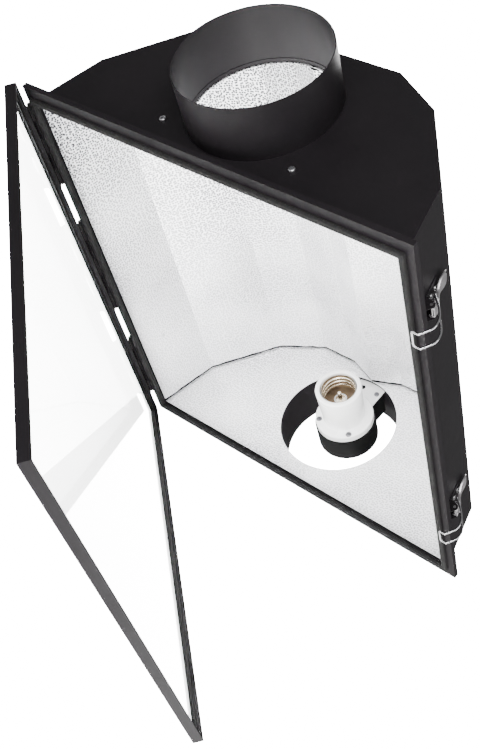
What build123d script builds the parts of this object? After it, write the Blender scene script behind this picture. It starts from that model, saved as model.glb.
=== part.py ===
from build123d import *
import math
import os

# Air-cooled reflector hood for a mogul-base discharge lamp.
# Everything is drawn in millimetres with z = 0 on the front plane of the mouth frame, the opening facing
# down, +X from the hinge side to the latch side, +Y from the inlet end to the lamp socket end, +Z up.
# On export each piece drops by HANGER_Z, so that the origin is the centre of the four hanging holes.

# ---- driving dimensions -------------------------------------------------------------------------------
SHEET = 0.8                 # folded steel sheet
FRAME_W = 464.0             # mouth frame, outside width across the hinge and latch sides
FRAME_L = 528.0             # mouth frame, outside length
FRAME_BAND = 14.6           # width of the frame's flat front
FRAME_H = 6.0               # height of the frame's outer edge
UPSTAND_H = 14.0            # height of the frame's inner upstand

FOOT_X = 222.6              # half width of the shell where its side walls would meet z = 0
SIDE_TOP = (203.4, 80.0)    # outside corners of the half section, from the mouth upwards
SLOPE_TOP = (144.0, 157.5)
ROOF_EDGE = (87.0, 188.0)
HOOD_HALF = 248.4           # outside of each end plate from the middle
LIP = 10.0                  # folded edge of an end plate
PLATE_SCREW_X = 78.0        # screws through each end plate into the liner's end panel
PLATE_SCREW_Z = {-1: 38.0, 1: 32.0}
PLATE_SCREW_R = 1.45

LINER_GAP = 6.5             # from the outside of the shell to the outside of the liner
LINER_T = 0.6
LINER_HALF = 241.4
RIDGE_HALF = 37.0           # the liner's roof is folded down into a ridge over the lamp
RIDGE_DROP = 14.5

DUCT_R = 75.0               # six-inch duct collar, outside radius
DUCT_Z = 95.0
DUCT_END = 306.0            # rim of each collar from the middle
DUCT_SHOULDER_R = 75.7      # where the collar sits in the end plate's hole
DUCT_FLANGE_R = 83.0
DUCT_SLEEVE_R = 74.4        # its inner end, which reaches the liner
LINER_HOLE_R = 72.6

SOCKET_Z = 107.0            # lamp axis
SOCKET_MOUTH = 186.5
SOCKET_BACK = 249.0
SOCKET_R = 28.6
SOCKET_FOOT_R = 26.2
FLANGE_R = 36.5
FLANGE_T = 7.0
MOUTH_R = 22.9
SEAT = SOCKET_MOUTH + 24.0  # bottom of the porcelain's well
THREAD_START = SOCKET_MOUTH + 3.0
THREAD_PITCH = 6.35
THREAD_TURNS = 3
THREAD_R = 20.9
THREAD_DEPTH = 0.85
THREAD_END = THREAD_START + THREAD_TURNS * THREAD_PITCH
THREAD_FLOOR = 0.8
SCREW_X = 23.0              # two lower flange screws, from the lamp axis
SCREW_DOWN = 21.8
SCREW_UP = 31.7             # the third, straight above the lamp axis
SCREW_WELL_R = 3.9

BRACKET_T = 1.5
ARM_HALF = 18.7
TAB_HALF = 11.5             # half width of the tab that is riveted to the collar
TAB_DEPTH = 14.0
TAB_R = DUCT_R - SHEET - 0.05
COVER_SCREW_X = 13.0
COVER_SCREW_Z = 157.0
LEAD_HOLE = (-9.5, 158.0)
LEAD_HOLE_R = 3.6
COVER_R = 38.0
COVER_DEPTH = 34.0
COVER_T = 1.2
GLAND_Y = 226.0             # cord gland, in the roof
GLAND_R = 7.5
GLAND_BORE_R = 4.5
LEAD_HALF = 6.0             # half width of the notch that lets the leads into the collar
COLLAR_RIVET_TURN = 6.1     # angle of each bracket rivet from the collar's top

DOOR_W = 468.0
DOOR_L = 536.0
DOOR_H = 12.0
DOOR_T = 1.0
DOOR_TOP = 2.0              # height of the door wall's edge above the mouth when closed
DOOR_LIP = 9.0              # width of the lip that carries the glass
GLASS_T = 4.0
GLASS_GAP = 1.0
SEAL_T = 0.6
DOOR_OPEN = 40.9            # angle of the door as stored
HINGE_X = -240.6
HINGE_Z = 4.1
KNUCKLE_R = 2.7
PIN_R = 1.25
PIN_GAP = 0.05
LEAF_REACH = 2.4            # inner edge of each leaf, from the hinge axis
HINGES = [(-236.0, -129.0), (-72.0, 72.0), (129.0, 236.0)]
KNUCKLES = 5

EARTH_PLACE = (-150.0, 30.0)

LATCH_Y = [-163.0, 157.0]
PIVOT_OUT = 7.5             # lever pivot: distance from the wall and height along it
PIVOT_UP = 21.0
BAIL_R = 1.1
BAIL_HALF = 9.3
BAIL_GAP = 0.5              # from the wire to the underside of the closed door
BAIL_PIVOT = (6.8, 10.0)    # distance from the wall and height above the lever pivot
CHEEK_HALF = 6.4            # half widths of the lever at its pivot, its arm and its paddle
LEVER_ARM_HALF = 3.4
PADDLE_HALF = 6.8
LATCH_RIVETS_UP = (15.0, 25.0)
RIVET_HOLE_R = 1.45

LINER_RIVET_Y = (-131.0, 133.0)
LINER_RIVET_UP = 33.0

HANGER_X = 64.0
HANGER_Y = 206.0
HANGER_HOLE_R = 3.3
HANGER_T = 2.0
HANGER_RISE = 10.0
HANGER_Z = ROOF_EDGE[1] + HANGER_RISE + HANGER_T


# ---- helpers ------------------------------------------------------------------------------------------
def box(x0, x1, y0, y1, z0, z1):
    """A block given by its limits."""
    return Pos((x0 + x1) / 2, (y0 + y1) / 2, (z0 + z1) / 2) * Box(x1 - x0, y1 - y0, z1 - z0)


def slab(points, y0, y1):
    """An outline in X and Z, extruded from y0 to y1."""
    face = Plane.XZ.offset(-y1) * make_face(Polyline(*points, close=True))
    return extrude(face, amount=y1 - y0)


def rod_y(x, z, radius, y0, y1):
    return Pos(x, (y0 + y1) / 2, z) * Rot(90, 0, 0) * Cylinder(radius, y1 - y0)


def rod_z(x, y, radius, z0, z1):
    return Pos(x, y, (z0 + z1) / 2) * Cylinder(radius, z1 - z0)


def ring(half_x, half_y, inner_x, inner_y, z0, z1):
    """A rectangular ring."""
    outer = box(-half_x, half_x, -half_y, half_y, z0, z1)
    return outer - box(-inner_x, inner_x, -inner_y, inner_y, z0, z1)


def joined(pieces):
    total = pieces[0]
    for piece in pieces[1:]:
        total = total + piece
    return total


def shifted_line(a, b, distance):
    """The line a-b moved to its left, as a point and a direction."""
    length = math.dist(a, b)
    dx = (b[0] - a[0]) / length
    dz = (b[1] - a[1]) / length
    return (a[0] - dz * distance, a[1] + dx * distance), (dx, dz)


def crossing(one, two):
    (ax, az), (adx, adz) = one
    (bx, bz), (bdx, bdz) = two
    along = ((bx - ax) * bdz - (bz - az) * bdx) / (adx * bdz - adz * bdx)
    return ax + adx * along, az + adz * along


def half_section(inset, foot):
    """Right half of the hood's section, moved inwards by inset and cut off at the height foot."""
    corners = [(FOOT_X, 0.0), SIDE_TOP, SLOPE_TOP, ROOF_EDGE, (0.0, ROOF_EDGE[1])]
    lines = [shifted_line(a, b, inset) for a, b in zip(corners, corners[1:])]
    points = [crossing(((0.0, foot), (1.0, 0.0)), lines[0])]
    for one, two in zip(lines, lines[1:]):
        points.append(crossing(one, two))
    return points


def section(inset, foot, ridge=0.0):
    """The whole section, with the roof's middle dropped by ridge."""
    right = half_section(inset, foot)
    if ridge:
        roof = right[-1][1]
        right = right + [(RIDGE_HALF, roof), (0.0, roof - ridge)]
    left = [(-x, z) for x, z in reversed(right) if x > 0.01]
    return right + left


def wall_point(out, up):
    """A point beside the latch-side wall: distance from the wall, and distance up along it."""
    foot, (dx, dz) = shifted_line((FOOT_X, 0.0), SIDE_TOP, -out)
    return foot[0] + dx * up, foot[1] + dz * up


def save(name, shape):
    """Write one piece."""
    placed = Pos(0, 0, -HANGER_Z) * shape
    placed.label = name
    export_step(placed, "parts/" + name + ".step")


# ---- shell, end plates and collars --------------------------------------------------------------------
def outer_shell():
    length = HOOD_HALF - SHEET
    body = slab(section(0, FRAME_H + 1), -length, length)
    body -= slab(section(SHEET, -20), -length - 1, length + 1)
    for x, y in hanger_rivet_places():
        body -= rod_z(x, y, 1.6, ROOF_EDGE[1] - 5, ROOF_EDGE[1] + 5)
    for place in latch_rivet_places():
        body -= place * Cylinder(RIVET_HOLE_R, 8)
    return body - rod_z(0, GLAND_Y, GLAND_R, ROOF_EDGE[1] - 5, ROOF_EDGE[1] + 5)


def end_plate(side):
    """A flat end with a folded edge inside the shell, drawn at +Y and mirrored for the other end."""
    plate = slab(section(0, FRAME_H + 1), HOOD_HALF - SHEET, HOOD_HALF)
    lip = slab(section(SHEET, UPSTAND_H + 2), HOOD_HALF - LIP, HOOD_HALF - SHEET)
    lip -= slab(section(2 * SHEET, -20), HOOD_HALF - LIP - 1, HOOD_HALF)
    plate += lip
    plate -= rod_y(0, DUCT_Z, DUCT_SHOULDER_R, HOOD_HALF - 5, HOOD_HALF + 5)
    for x in (-PLATE_SCREW_X, PLATE_SCREW_X):
        plate -= rod_y(x, PLATE_SCREW_Z[side], PLATE_SCREW_R + 0.05, HOOD_HALF - 5, HOOD_HALF + 5)
    if side < 0:
        return mirror(plate, about=Plane.XZ)
    hole_r = PLATE_SCREW_R + 0.05
    return plate - rod_y(EARTH_PLACE[0], EARTH_PLACE[1], hole_r, HOOD_HALF - 5, HOOD_HALF + 5)


def duct_collar(side):
    """A spun collar: a flange behind the end plate, a shoulder in its hole and a sleeve to the liner."""
    inside = LINER_HALF + 1.0
    back = HOOD_HALF - 2 * SHEET
    tube = rod_y(0, DUCT_Z, DUCT_R, HOOD_HALF, DUCT_END)
    tube += rod_y(0, DUCT_Z, DUCT_SHOULDER_R, HOOD_HALF - SHEET, HOOD_HALF)
    tube += rod_y(0, DUCT_Z, DUCT_FLANGE_R, back, HOOD_HALF - SHEET)
    tube += rod_y(0, DUCT_Z, DUCT_SLEEVE_R, inside, back)
    tube -= rod_y(0, DUCT_Z, DUCT_R - SHEET, back, DUCT_END + 1)
    tube -= rod_y(0, DUCT_Z, DUCT_SLEEVE_R - SHEET, inside - 1, back + 1)
    if side < 0:
        return mirror(tube, about=Plane.XZ)
    tube -= box(-LEAD_HALF, LEAD_HALF, inside - 1, back - 0.2, DUCT_Z, DUCT_Z + DUCT_R)
    for place in collar_rivet_places():
        tube -= place * Cylinder(RIVET_HOLE_R + 0.05, 10)
    return tube


def collar_rivet_places():
    """Where the bracket's two rivets pass through the top of the collar, each square to its wall."""
    return [Pos(0, SOCKET_BACK + 9, DUCT_Z) * Rot(0, turn, 0) * Pos(0, 0, DUCT_R)
            for turn in (-COLLAR_RIVET_TURN, COLLAR_RIVET_TURN)]


def pan_screw(radius, height, shank_r, shank):
    """A cross-recessed pan head on the plane z = 0, its shank pointing down."""
    head = Pos(0, 0, height / 2) * Cylinder(radius, height)
    head = fillet(head.edges().sort_by(Axis.Z)[-1:], height * 0.55)
    for turn in (0, 90):
        head -= Pos(0, 0, height) * Rot(0, 0, turn) * Box(radius * 1.1, radius * 0.22, height * 0.9)
    return head + Pos(0, 0, -shank / 2) * Cylinder(shank_r, shank)


def rivet(radius, height, shank_r, shank):
    head = Pos(0, 0, height / 2) * Cylinder(radius, height)
    head = fillet(head.edges().sort_by(Axis.Z)[-1:], height * 0.8)
    return head + Pos(0, 0, -shank / 2) * Cylinder(shank_r, shank)


def end_plate_screws():
    """Two at each end, long enough to pass through the liner's end panel."""
    screw = pan_screw(3.4, 2.0, PLATE_SCREW_R, 9.5)
    group = []
    for x in (-PLATE_SCREW_X, PLATE_SCREW_X):
        for side in (-1, 1):
            place = Pos(x, side * HOOD_HALF, PLATE_SCREW_Z[side]) * Rot(-90 * side, 0, 0)
            group.append(place * screw)
    return Compound(children=group)


# ---- mouth frame and its gasket -----------------------------------------------------------------------
def mouth_frame():
    half_x = FRAME_W / 2
    half_y = FRAME_L / 2
    open_x = half_x - FRAME_BAND
    open_y = HOOD_HALF - 3 * SHEET
    front = ring(half_x, half_y, open_x, open_y, 0, SHEET)
    edge = ring(half_x, half_y, half_x - SHEET, half_y - SHEET, 0, FRAME_H)
    fold = ring(half_x, half_y, half_x - 8, half_y - 8, FRAME_H - SHEET, FRAME_H)
    upstand = ring(open_x + SHEET, open_y + SHEET, open_x, open_y, 0, UPSTAND_H)
    body = joined([front, edge, fold, upstand])
    corners = [e for e in body.edges().filter_by(Axis.Z) if abs(abs(e.center().X) - half_x) < 0.1]
    return fillet(corners, 0.6)


def frame_gasket():
    open_x = FRAME_W / 2 - FRAME_BAND
    open_y = HOOD_HALF - 3 * SHEET
    depth = DOOR_H - DOOR_TOP - DOOR_T - SEAL_T - GLASS_T - 0.3
    strip = ring(open_x + 6, open_y + 6, open_x + 0.3, open_y + 0.3, -depth, 0)
    return fillet(strip.edges().group_by(Axis.Z)[0], 1.2)


# ---- reflector liner ----------------------------------------------------------------------------------
def reflector_liner():
    liner = slab(section(LINER_GAP, 2.0, RIDGE_DROP), -LINER_HALF, LINER_HALF)
    hollow = section(LINER_GAP + LINER_T, -20, RIDGE_DROP)
    liner -= slab(hollow, -LINER_HALF - 1, LINER_HALF + 1)
    for place in liner_rivet_places():
        liner -= place * Cylinder(1.25, 8)
    return liner


def liner_end(side):
    plate = slab(section(LINER_GAP, 2.0, RIDGE_DROP), LINER_HALF, LINER_HALF + LINER_T)
    plate -= rod_y(0, DUCT_Z - 0.5, LINER_HOLE_R, LINER_HALF - 1, LINER_HALF + 2)
    for x in (-PLATE_SCREW_X, PLATE_SCREW_X):
        plate -= rod_y(x, PLATE_SCREW_Z[side], PLATE_SCREW_R + 0.05, LINER_HALF - 1, LINER_HALF + 2)
    return plate if side > 0 else mirror(plate, about=Plane.XZ)


def wall_lean():
    """Angle of the lower side walls from upright, in degrees."""
    return math.degrees(math.atan2(FOOT_X - SIDE_TOP[0], SIDE_TOP[1]))


def liner_rivet_places():
    """Blind rivets through the lower side facets of the liner, their heads towards the lamp."""
    x, z = wall_point(-LINER_GAP - LINER_T, LINER_RIVET_UP)
    places = []
    for y in LINER_RIVET_Y:
        places.append(Pos(x, y, z) * Rot(0, -90 - wall_lean(), 0))
        places.append(Pos(-x, y, z) * Rot(0, 90 + wall_lean(), 0))
    return places


def liner_rivets():
    head = rivet(2.4, 1.0, 1.2, 4.5)
    return Compound(children=[place * head for place in liner_rivet_places()])


# ---- lamp socket --------------------------------------------------------------------------------------
def turned(points):
    """A closed outline of radius and Y, turned about the lamp axis."""
    face = make_face(Polyline(*points, close=True))
    return Pos(0, 0, SOCKET_Z) * revolve(face, Axis.Y)


def socket_body():
    back = SOCKET_BACK
    front = SOCKET_BACK - FLANGE_T
    body = turned([(0, back), (FLANGE_R, back), (FLANGE_R, front + 1), (FLANGE_R - 1, front),
                   (SOCKET_FOOT_R + 2.5, front), (SOCKET_FOOT_R + 0.7, front - 1),
                   (SOCKET_FOOT_R, front - 3.5), (SOCKET_R, SOCKET_MOUTH + 3),
                   (SOCKET_R - 0.5, SOCKET_MOUTH + 0.8), (SOCKET_R - 1.8, SOCKET_MOUTH),
                   (MOUTH_R + 1.2, SOCKET_MOUTH), (MOUTH_R, SOCKET_MOUTH + 1.5),
                   (MOUTH_R, SEAT), (0, SEAT)])
    body -= rod_y(0, SOCKET_Z, 3.0, SEAT - 1, back + 1)
    body -= rod_y(15, SOCKET_Z, 1.7, SEAT - 1, back + 1)
    for x, z in flange_screw_places():
        body -= rod_y(x, z, 2.2, front - 2, back + 1)
        body -= rod_y(x, z, SCREW_WELL_R, front - 2, front + 1.6)
    return body


def flange_screw_places():
    lower = SOCKET_Z - SCREW_DOWN
    return [(-SCREW_X, lower), (SCREW_X, lower), (0.0, SOCKET_Z + SCREW_UP)]


def screw_shell():
    """The rolled brass thread shell: a wavy sleeve with a floor."""
    per_turn = 8
    outer = []
    for i in range(THREAD_TURNS * per_turn + 1):
        y = THREAD_START + THREAD_PITCH * i / per_turn
        outer.append((THREAD_R + THREAD_DEPTH * math.cos(2 * math.pi * i / per_turn), y))
    inner = [(r - 0.5, y) for r, y in outer]
    sleeve = turned(outer + list(reversed(inner)))
    rim = THREAD_R + THREAD_DEPTH
    floor = rod_y(0, SOCKET_Z, rim, THREAD_END, THREAD_END + THREAD_FLOOR)
    return sleeve + floor - rod_y(0, SOCKET_Z, 8.0, THREAD_END - 1, SEAT)


def centre_contact():
    """A waisted brass post with a round tip, held by its foot on the porcelain."""
    return turned([(0, SEAT - 14), (1.6, SEAT - 13.8), (2.6, SEAT - 12.6), (2.6, SEAT - 11),
                   (1.7, SEAT - 9.5), (1.7, SEAT - 8.5), (2.7, SEAT - 7.2), (2.7, SEAT - 2),
                   (6.5, SEAT - 1.1), (6.5, SEAT), (2.9, SEAT), (2.9, SOCKET_BACK + 3),
                   (0, SOCKET_BACK + 3)])


def contact_terminal():
    """Brass strap and screw that take the live lead, behind the socket."""
    back = SOCKET_BACK
    strap = box(-5, 5, back + 3, back + 4.2, SOCKET_Z - 16, SOCKET_Z + 4)
    strap -= rod_y(0, SOCKET_Z - 11, 1.8, back, back + 8)
    screw = rod_y(0, SOCKET_Z - 11, 1.75, back + 1, back + 4.2)
    screw += rod_y(0, SOCKET_Z - 11, 3.6, back + 4.2, back + 6.6)
    screw -= box(-4, 4, back + 5.8, back + 7, SOCKET_Z - 11.5, SOCKET_Z - 10.5)
    return Compound(children=[strap, screw])


def shell_terminal():
    """Stud and screw that take the neutral lead, joined to the thread shell."""
    back = SOCKET_BACK
    stud = rod_y(15, SOCKET_Z, 1.65, THREAD_END + THREAD_FLOOR, back + 3)
    strap = box(10, 20, back + 3, back + 4.2, SOCKET_Z - 5, SOCKET_Z + 14)
    screw = rod_y(15, SOCKET_Z + 9, 3.6, back + 4.2, back + 6.6)
    screw -= box(11, 19, back + 5.8, back + 7, SOCKET_Z + 8.5, SOCKET_Z + 9.5)
    return Compound(children=[stud + strap, screw])


def socket_screws():
    screw = pan_screw(3.5, 2.2, 1.95, 9.5)
    front = SOCKET_BACK - FLANGE_T + 1.6
    return Compound(children=[Pos(x, front, z) * Rot(90, 0, 0) * screw for x, z in flange_screw_places()])


def arm_top():
    """Height where the arm meets the inside of the collar, at its corners."""
    return DUCT_Z + math.sqrt((DUCT_R - SHEET) ** 2 - ARM_HALF ** 2)


def keyhole(radius, half, top, y0, y1):
    """A disc on the lamp axis with a straight arm up to the collar."""
    disc = rod_y(0, SOCKET_Z, radius, y0, y1)
    return disc + box(-half, half, y0, y1, SOCKET_Z, top)


def socket_bracket():
    y0 = SOCKET_BACK
    y1 = SOCKET_BACK + BRACKET_T
    plate = keyhole(FLANGE_R, ARM_HALF, DUCT_Z + DUCT_R, y0, y1)
    plate = plate & rod_y(0, DUCT_Z, TAB_R, y0 - 1, y1 + 1)
    tab = rod_y(0, DUCT_Z, TAB_R, y0, y0 + TAB_DEPTH)
    tab -= rod_y(0, DUCT_Z, TAB_R - BRACKET_T, y0 - 1, y0 + TAB_DEPTH + 1)
    plate += tab & box(-TAB_HALF, TAB_HALF, y0, y0 + TAB_DEPTH, SOCKET_Z, DUCT_Z + DUCT_R)
    plate -= rod_y(0, SOCKET_Z, 20.0, y0 - 1, y1 + 1)
    for x, z in flange_screw_places():
        plate -= rod_y(x, z, 2.0, y0 - 1, y1 + 1)
    for x in (-COVER_SCREW_X, COVER_SCREW_X):
        plate -= rod_y(x, COVER_SCREW_Z, 1.6, y0 - 1, y1 + 1)
    plate -= rod_y(LEAD_HOLE[0], LEAD_HOLE[1], LEAD_HOLE_R, y0 - 1, y1 + 1)
    for place in collar_rivet_places():
        plate -= place * Cylinder(RIVET_HOLE_R + 0.05, 10)
    return plate


def bracket_screws():
    """Two screws that hold the wire cover to the arm, and two rivets from the tab into the collar."""
    screw = pan_screw(3.2, 1.8, 1.55, 6.0)
    group = [Pos(x, SOCKET_BACK, COVER_SCREW_Z) * Rot(90, 0, 0) * screw
             for x in (-COVER_SCREW_X, COVER_SCREW_X)]
    under_tab = BRACKET_T + SHEET + 0.11
    for place in collar_rivet_places():
        head_down = place * Pos(0, 0, -under_tab) * Rot(180, 0, 0)
        group.append(head_down * rivet(2.8, 1.0, RIVET_HOLE_R, under_tab - 0.1))
    return Compound(children=group)


def wire_cover():
    y0 = SOCKET_BACK + BRACKET_T
    y1 = y0 + COVER_DEPTH
    top = arm_top() - 2.6
    body = keyhole(COVER_R, ARM_HALF, top, y0, y1)
    body = fillet(body.edges().filter_by(Axis.Y), 3.0)
    hollow = keyhole(COVER_R - COVER_T, ARM_HALF - COVER_T, top - COVER_T, y0 - 1, y1 - COVER_T)
    body -= hollow
    for x in (-COVER_SCREW_X, COVER_SCREW_X):
        boss = rod_y(x, COVER_SCREW_Z, 4.8, y0, y0 + 9)
        body += boss - rod_y(x, COVER_SCREW_Z, 1.6, y0 - 1, y0 + 7)
    return body


def cord_gland():
    """A snap-in bushing in the roof, empty, ready for a lamp cord."""
    roof = ROOF_EDGE[1]
    bush = rod_z(0, GLAND_Y, GLAND_R - 0.2, roof - 10, roof)
    bush += rod_z(0, GLAND_Y, 10.0, roof, roof + 3)
    bush = fillet(bush.edges().group_by(Axis.Z)[-1], 1.0)
    return bush - rod_z(0, GLAND_Y, GLAND_BORE_R, roof - 11, roof + 5)


def earth_screw():
    """Bonding screw in the lower part of the socket end plate."""
    screw = pan_screw(3.4, 2.0, PLATE_SCREW_R, 5.0)
    return Pos(EARTH_PLACE[0], HOOD_HALF, EARTH_PLACE[1]) * Rot(-90, 0, 0) * screw


# ---- hanging tabs -------------------------------------------------------------------------------------
def hanger_rivet_places():
    places = []
    for sx in (-1, 1):
        for sy in (-1, 1):
            for dx in (-6.0, 6.0):
                places.append((sx * HANGER_X + dx, sy * (HANGER_Y - 23.0)))
    return places


def hanger_tab(sx, sy):
    """A Z-shaped tab: a riveted foot, a riser and a raised ear with the hole for a hook."""
    roof = ROOF_EDGE[1]
    half = 11.0
    t = HANGER_T
    foot = box(-half, half, -31, -13, roof, roof + t)
    riser = box(-half, half, -13 - t, -13, roof, HANGER_Z)
    ear = box(-half, half, -13 - t, 11, HANGER_Z - t, HANGER_Z)
    tab = joined([foot, riser, ear])
    tab = fillet(tab.edges().filter_by(Axis.Z).group_by(Axis.Y)[-1], 6.0)
    tab = fillet(tab.edges().filter_by(Axis.X).sort_by(Axis.Z)[-1:], 0.5)
    tab -= rod_z(0, 0, HANGER_HOLE_R, roof, HANGER_Z + 5)
    for dx in (-6.0, 6.0):
        tab -= rod_z(dx, -23, 1.6, roof - 1, roof + 5)
    if sy < 0:
        tab = mirror(tab, about=Plane.XZ)
    return Pos(sx * HANGER_X, sy * HANGER_Y, 0) * tab


def hanger_rivets():
    head = rivet(3.0, 1.3, 1.55, HANGER_T + 2.4)
    top = ROOF_EDGE[1] + HANGER_T
    return Compound(children=[Pos(x, y, top) * head for x, y in hanger_rivet_places()])


# ---- door ---------------------------------------------------------------------------------------------
def opened(shape):
    """Turn a piece of the closed door about the hinge line to where it is stored."""
    return shape.rotate(Axis((HINGE_X, 0, HINGE_Z), (0, 1, 0)), DOOR_OPEN)


def door_frame():
    half_x = DOOR_W / 2
    half_y = DOOR_L / 2
    low = DOOR_TOP - DOOR_H
    walls = ring(half_x, half_y, half_x - DOOR_T, half_y - DOOR_T, low, DOOR_TOP)
    lip = ring(half_x, half_y, half_x - DOOR_LIP, half_y - DOOR_LIP, low, low + DOOR_T)
    return walls + lip


def door_glass():
    low = DOOR_TOP - DOOR_H + DOOR_T + SEAL_T
    edge = DOOR_T + GLASS_GAP
    pane = box(-DOOR_W / 2 + edge, DOOR_W / 2 - edge, -DOOR_L / 2 + edge, DOOR_L / 2 - edge,
               low, low + GLASS_T)
    return chamfer(pane.edges().group_by(Axis.Z)[0] + pane.edges().group_by(Axis.Z)[-1], 0.5)


def glass_seal():
    """A flat silicone strip between the lip and the glass."""
    low = DOOR_TOP - DOOR_H + DOOR_T
    edge = DOOR_T + GLASS_GAP
    inner = DOOR_LIP - 1.0
    return ring(DOOR_W / 2 - edge, DOOR_L / 2 - edge, DOOR_W / 2 - inner, DOOR_L / 2 - inner,
                low, low + SEAL_T)


def glass_bead():
    """A silicone bead that fills the corner between the glass and the door wall."""
    low = DOOR_TOP - DOOR_H + DOOR_T + SEAL_T + GLASS_T
    half_x = DOOR_W / 2 - DOOR_T
    half_y = DOOR_L / 2 - DOOR_T
    bead = ring(half_x, half_y, half_x - 3.0, half_y - 3.0, low, low + 1.6)
    top = bead.edges().group_by(Axis.Z)[-1]
    inner = [e for e in top if abs(e.center().X) < half_x - 1 and abs(e.center().Y) < half_y - 1]
    return chamfer(inner, 1.2)


# ---- hinges -------------------------------------------------------------------------------------------
def knuckle_spans(span, odd):
    """The stretches of one leaf's knuckles along a hinge, with a running gap between leaves."""
    step = (span[1] - span[0]) / KNUCKLES
    return [(span[0] + i * step + 0.2, span[0] + (i + 1) * step - 0.2)
            for i in range(KNUCKLES) if i % 2 == odd]


def hinge_frame_leaf(span):
    """The leaf on the frame's back; its plate runs the whole length, close behind every knuckle."""
    top = HINGE_Z + KNUCKLE_R
    thick = top - FRAME_H
    leaf = box(HINGE_X + LEAF_REACH, -FRAME_W / 2 + 10, span[0], span[1], FRAME_H, top)
    for y0, y1 in knuckle_spans(span, 0):
        leaf += box(HINGE_X, HINGE_X + LEAF_REACH + 1, y0, y1, top - thick, top)
        leaf += rod_y(HINGE_X, HINGE_Z, KNUCKLE_R, y0, y1)
    return leaf - rod_y(HINGE_X, HINGE_Z, PIN_R, span[0] - 1, span[1] + 1)


def hinge_door_leaf(span):
    """The leaf on the door's side, with a plate along the foot of every knuckle."""
    wall = -DOOR_W / 2
    low = HINGE_Z - KNUCKLE_R
    leaf = box(wall - SHEET, wall, span[0], span[1], DOOR_TOP - DOOR_H + 2, low + SHEET)
    leaf += box(HINGE_X + LEAF_REACH, wall, span[0], span[1], low, low + SHEET)
    for y0, y1 in knuckle_spans(span, 1):
        leaf += box(HINGE_X, wall, y0, y1, low, low + SHEET)
        leaf += rod_y(HINGE_X, HINGE_Z, KNUCKLE_R, y0, y1)
    return leaf - rod_y(HINGE_X, HINGE_Z, PIN_R + PIN_GAP, span[0] - 1, span[1] + 1)


def hinge_pin(span):
    return rod_y(HINGE_X, HINGE_Z, PIN_R, span[0] - 0.5, span[1] + 0.5)


# ---- latches ------------------------------------------------------------------------------------------
def beside_wall(points):
    """Outline points given as distance from the wall and height above the lever pivot."""
    return [wall_point(out, PIVOT_UP + up) for out, up in points]


def latch_base(y):
    """A riveted plate with two ears that hold the lever pivot."""
    plate = slab(beside_wall([(0, -8), (0, 30), (1, 30), (1, -8)]), y - 10, y + 10)
    ear = beside_wall([(0.5, -7.5), (0.5, 7), (4, 6.5), (10, 3), (11, 0), (10, -3), (5, -7.5)])
    for y0 in (y - 7.7, y + 6.7):
        plate += slab(ear, y0, y0 + 1.0)
    px, pz = wall_point(PIVOT_OUT, PIVOT_UP)
    plate -= rod_y(px, pz, 1.5, y - 12, y + 12)
    for place in latch_rivet_places():
        plate -= place * Cylinder(RIVET_HOLE_R, 8)
    return plate


def latch_pivot(y):
    px, pz = wall_point(PIVOT_OUT, PIVOT_UP)
    return rod_y(px, pz, 1.5, y - 7.9, y + 7.9)


def latch_lever(y):
    """Two cheeks on the pivot, a back plate, a narrow arm and a finger paddle that lifts at its tip."""
    cheek = beside_wall([(4.6, -3.2), (10.8, -3.2), (10.9, 13.5), (7.5, 16.0), (4.2, 14.0)])
    lever = slab(cheek, y - CHEEK_HALF, y - CHEEK_HALF + 1)
    lever += slab(cheek, y + CHEEK_HALF - 1, y + CHEEK_HALF)
    back = beside_wall([(10.8, -3.2), (10.9, 13.5), (9.9, 13.5), (9.8, -3.2)])
    lever += slab(back, y - CHEEK_HALF, y + CHEEK_HALF)
    slope = beside_wall([(10.9, 13.5), (6.6, 23.0), (5.7, 22.6), (9.9, 12.8)])
    lever += slab(slope, y - LEVER_ARM_HALF, y + LEVER_ARM_HALF)
    lever += extrude(Plane.XZ.offset(-(y + PADDLE_HALF)) * paddle_outline(), amount=2 * PADDLE_HALF)
    px, pz = wall_point(PIVOT_OUT, PIVOT_UP)
    bx, bz = wall_point(BAIL_PIVOT[0], PIVOT_UP + BAIL_PIVOT[1])
    lever -= rod_y(px, pz, 1.56, y - 12, y + 12)
    lever -= rod_y(bx, bz, BAIL_R + 0.06, y - 12, y + 12)
    return lever


def paddle_outline():
    """Side view of the paddle: a shallow bow that dips to the wall and lifts at its tip."""
    outer = beside_wall([(6.6, 22.0), (4.2, 34.0), (8.6, 49.0)])
    inner = beside_wall([(7.6, 48.6), (3.2, 34.0), (5.6, 21.6)])
    edges = [ThreePointArc(*outer), Line(outer[2], inner[0]), ThreePointArc(*inner),
             Line(inner[2], outer[0])]
    return make_face(edges)


def latch_bail(y):
    """A bent wire loop: two ends in the lever, two bowed legs round the frame's edge, and the hook bar."""
    bx, bz = wall_point(BAIL_PIVOT[0], PIVOT_UP + BAIL_PIVOT[1])
    bar_z = DOOR_TOP - DOOR_H - BAIL_R - BAIL_GAP
    side = [(bx, bz), (233.5, 21.0), (240.8, 10.0), (241.6, -1.0), (236.8, bar_z), (228.5, bar_z)]
    radii = [2.0, 6.0, 8.0, 8.0, 3.0, 2.0]
    points = [(bx, y - 4.0, bz)]
    points += [(x, y - BAIL_HALF, z) for x, z in side]
    points += [(x, y + BAIL_HALF, z) for x, z in reversed(side)]
    points += [(bx, y + 4.0, bz)]
    path = FilletPolyline(*points, radius=radii + radii[::-1])
    return sweep(Plane(origin=path @ 0, z_dir=path % 0) * Circle(BAIL_R), path=path)


def latch_rivet_places():
    """Two rivets through each latch base, square to the wall."""
    places = []
    for y in LATCH_Y:
        for up in LATCH_RIVETS_UP:
            x, z = wall_point(1.0, PIVOT_UP + up)
            places.append(Pos(x, y, z) * Rot(0, 90 - wall_lean(), 0))
    return places


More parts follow.
